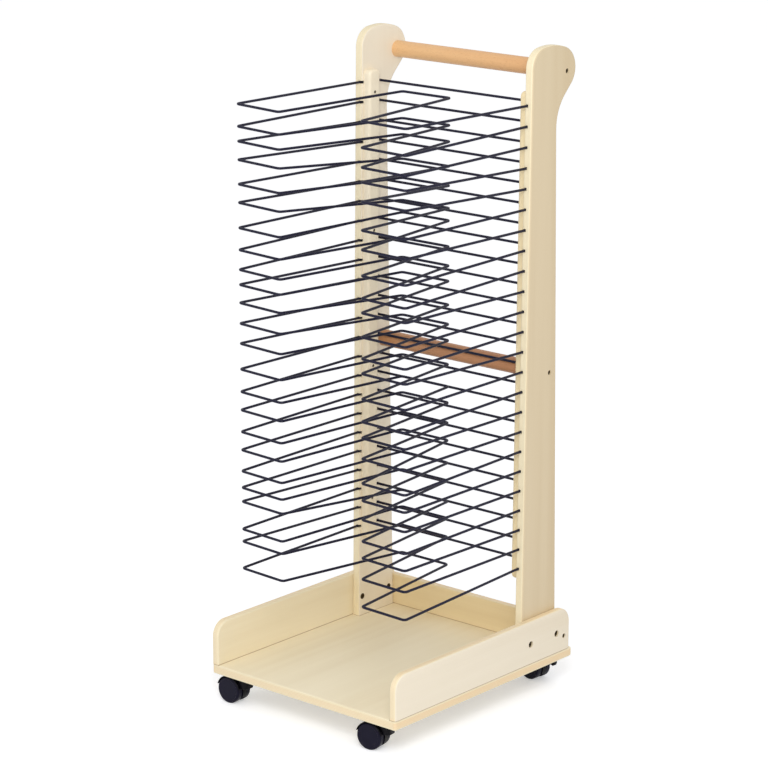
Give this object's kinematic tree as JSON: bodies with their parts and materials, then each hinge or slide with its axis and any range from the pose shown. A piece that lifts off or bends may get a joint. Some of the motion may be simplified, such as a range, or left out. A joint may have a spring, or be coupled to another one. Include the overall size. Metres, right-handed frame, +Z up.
{
  "type": "art drying rack",
  "caption": "Wooden art drying rack on swivel casters: a low tray, two rounded posts with a handle bar, and a stack of forked wire shelves.",
  "frame": {"origin": "on the floor under the middle of the rack", "axes": "+Z up, +Y towards the posts' rear edges, +X to the rack's right as seen from the front, where the shelf fingers point at the viewer"},
  "size_m": [0.46, 0.528, 1.2534],
  "materials": {
    "birch_plywood": "clear satin lacquer on birch plywood",
    "beech": "clear satin lacquer on beech dowel",
    "coated_wire": "semi-gloss dark blue-black epoxy coat on steel wire",
    "brass_plated_steel": "dull brass plate",
    "zinc_plated_steel": "zinc plate",
    "caster_plastic": "black moulded nylon",
    "wheel_plastic": "black moulded nylon, smooth faces"
  },
  "bodies": {
    "rack": {"bar_screws": "brass_plated_steel", "base_board": "birch_plywood", "base_screws": "zinc_plated_steel", "caster_screws": "zinc_plated_steel", "front_left_caster_plate": "zinc_plated_steel", "front_right_caster_plate": "zinc_plated_steel", "handle_bar": "beech", "left_clamp_strip": "birch_plywood", "left_post": "birch_plywood", "left_side_panel": "birch_plywood", "middle_stretcher": "beech", "panel_bolts": "brass_plated_steel", "rear_left_caster_plate": "zinc_plated_steel", "rear_panel": "birch_plywood", "rear_panel_screws": "brass_plated_steel", "rear_right_caster_plate": "zinc_plated_steel", "right_clamp_strip": "birch_plywood", "right_post": "birch_plywood", "right_side_panel": "birch_plywood", "shelf_01": "coated_wire", "shelf_02": "coated_wire", "shelf_03": "coated_wire", "shelf_04": "coated_wire", "shelf_05": "coated_wire", "shelf_06": "coated_wire", "shelf_07": "coated_wire", "shelf_08": "coated_wire", "shelf_09": "coated_wire", "shelf_10": "coated_wire", "shelf_11": "coated_wire", "shelf_12": "coated_wire", "shelf_13": "coated_wire", "shelf_14": "coated_wire", "shelf_15": "coated_wire", "shelf_16": "coated_wire", "shelf_17": "coated_wire", "shelf_18": "coated_wire", "shelf_19": "coated_wire", "shelf_20": "coated_wire", "shelf_21": "coated_wire", "shelf_22": "coated_wire", "shelf_23": "coated_wire", "shelf_24": "coated_wire", "sleeve_nuts": "brass_plated_steel", "strip_screws": "brass_plated_steel"},
    "front_left_swivel_body": {"front_left_caster_housing": "caster_plastic"},
    "front_left_wheel_body": {"front_left_caster_axle": "zinc_plated_steel", "front_left_caster_wheels": "wheel_plastic"},
    "front_right_swivel_body": {"front_right_caster_housing": "caster_plastic"},
    "front_right_wheel_body": {"front_right_caster_axle": "zinc_plated_steel", "front_right_caster_wheels": "wheel_plastic"},
    "rear_left_swivel_body": {"rear_left_caster_housing": "caster_plastic"},
    "rear_left_wheel_body": {"rear_left_caster_axle": "zinc_plated_steel", "rear_left_caster_wheels": "wheel_plastic"},
    "rear_left_brake_body": {"rear_left_brake_lever": "caster_plastic"},
    "rear_right_swivel_body": {"rear_right_caster_housing": "caster_plastic"},
    "rear_right_wheel_body": {"rear_right_caster_axle": "zinc_plated_steel", "rear_right_caster_wheels": "wheel_plastic"},
    "rear_right_brake_body": {"rear_right_brake_lever": "caster_plastic"}
  },
  "joints": [
    {"name": "front_left_swivel", "type": "hinge", "parent": "rack", "child": "front_left_swivel_body", "pos_m": [-0.178, -0.234, 0.0545], "axis": [0, 0, 1], "continuous": true},
    {"name": "front_left_wheel_spin", "type": "hinge", "parent": "front_left_swivel_body", "child": "front_left_wheel_body", "pos_m": [-0.20099, -0.2348, 0.026], "axis": [-0.0349, 0.9994, 0], "continuous": true},
    {"name": "front_right_swivel", "type": "hinge", "parent": "rack", "child": "front_right_swivel_body", "pos_m": [0.178, -0.234, 0.0545], "axis": [0, 0, 1], "continuous": true},
    {"name": "front_right_wheel_spin", "type": "hinge", "parent": "front_right_swivel_body", "child": "front_right_wheel_body", "pos_m": [0.15528, -0.2376, 0.026], "axis": [-0.1564, 0.9877, 0], "continuous": true},
    {"name": "rear_left_swivel", "type": "hinge", "parent": "rack", "child": "rear_left_swivel_body", "pos_m": [-0.178, 0.2385, 0.0545], "axis": [0, 0, 1], "continuous": true},
    {"name": "rear_left_wheel_spin", "type": "hinge", "parent": "rear_left_swivel_body", "child": "rear_left_wheel_body", "pos_m": [-0.20087, 0.2361, 0.026], "axis": [-0.1045, 0.9945, 0], "continuous": true},
    {"name": "rear_left_brake", "type": "hinge", "parent": "rear_left_swivel_body", "child": "rear_left_brake_body", "pos_m": [-0.16457, 0.23991, 0.044], "axis": [-0.1045, 0.9945, 0], "range_deg": [0, 15]},
    {"name": "rear_right_swivel", "type": "hinge", "parent": "rack", "child": "rear_right_swivel_body", "pos_m": [0.178, 0.2385, 0.0545], "axis": [0, 0, 1], "continuous": true},
    {"name": "rear_right_wheel_spin", "type": "hinge", "parent": "rear_right_swivel_body", "child": "rear_right_wheel_body", "pos_m": [0.15513, 0.2409, 0.026], "axis": [0.1045, 0.9945, 0], "continuous": true},
    {"name": "rear_right_brake", "type": "hinge", "parent": "rear_right_swivel_body", "child": "rear_right_brake_body", "pos_m": [0.19143, 0.23709, 0.044], "axis": [0.1045, 0.9945, 0], "range_deg": [0, 15]}
  ]
}
